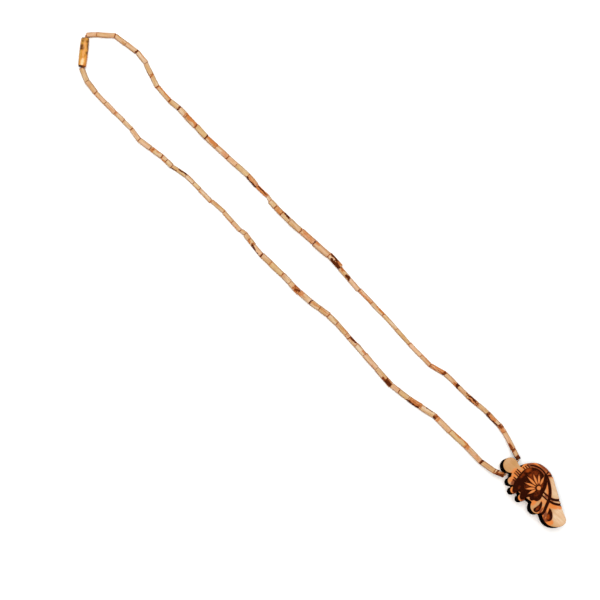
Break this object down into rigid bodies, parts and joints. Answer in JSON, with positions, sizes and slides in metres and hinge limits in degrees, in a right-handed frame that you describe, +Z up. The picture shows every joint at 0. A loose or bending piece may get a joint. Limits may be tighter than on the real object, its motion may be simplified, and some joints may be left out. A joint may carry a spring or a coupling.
{
  "type": "bead necklace with a wooden pendant",
  "caption": "Closed strand of short drilled twig beads on a thread, with a longer barrel bead at the closing end and a flat engraved wooden pendant with a scalloped edge.",
  "frame": {"origin": "on the surface the necklace lies on, in the middle of its box", "axes": "+X across the loop to the right, +Y from the pendant to the barrel bead, +Z up from the surface"},
  "size_m": [0.0238, 0.2472, 0.0086],
  "materials": {
    "twig_wood": "dry, lightly sanded twig with dark joint ends",
    "thread_cotton": "twisted cotton",
    "barrel_wood": "polished, mottled",
    "pendant_wood": "smooth light face with burnt engraving and charred cut edges"
  },
  "bodies": {
    "root": {"beads_left": "twig_wood", "beads_right": "twig_wood", "thread": "thread_cotton", "clasp_barrel": "barrel_wood", "pendant": "pendant_wood"}
  },
  "joints": []
}
